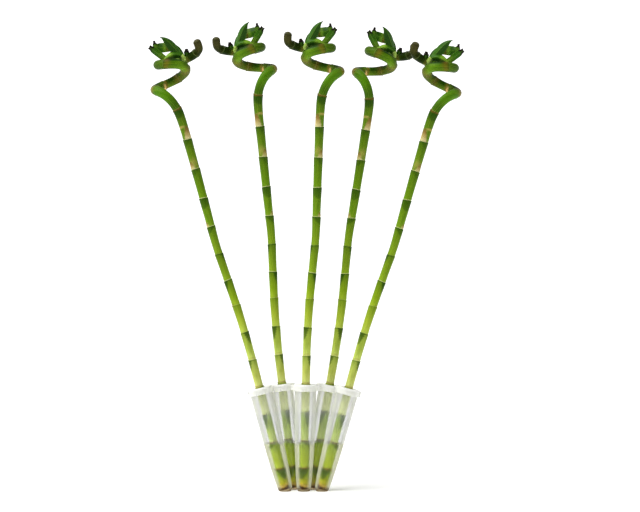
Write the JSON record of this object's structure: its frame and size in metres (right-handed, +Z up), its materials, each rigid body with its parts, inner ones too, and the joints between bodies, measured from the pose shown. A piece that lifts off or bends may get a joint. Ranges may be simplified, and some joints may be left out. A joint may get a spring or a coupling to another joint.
{
  "type": "spiral lucky bamboo stems in a tube vase",
  "caption": "Spiral-topped lucky bamboo canes with small leaf tufts, fanned out in a joined frosted tube vase with a white collar and water.",
  "frame": {"origin": "centre of the middle tube's flat foot, on the surface that the vase stands on", "axes": "+Z up along the height, +X right along the fan, +Y away from the front"},
  "size_m": [0.4137, 0.0733, 0.6145],
  "materials": {
    "frosted_plastic": "thin frosted translucent plastic, slightly milky",
    "white_plastic": "satin moulded white plastic",
    "water": "clear still water",
    "cane": "smooth waxy living stem, yellow-green at the foot and deep green at the top, with pale ringed joints",
    "leaf": "smooth waxy living leaf with a lighter keel and edges and browned tips"
  },
  "bodies": {
    "root": {"vase": "frosted_plastic", "collar": "white_plastic", "water_1": "water", "water_2": "water", "water_3": "water", "water_4": "water", "water_5": "water", "stem_1": "cane", "stem_2": "cane", "stem_3": "cane", "stem_4": "cane", "stem_5": "cane", "leaves_1": "leaf", "leaves_2": "leaf", "leaves_3": "leaf", "leaves_4": "leaf", "leaves_5": "leaf"}
  },
  "joints": []
}
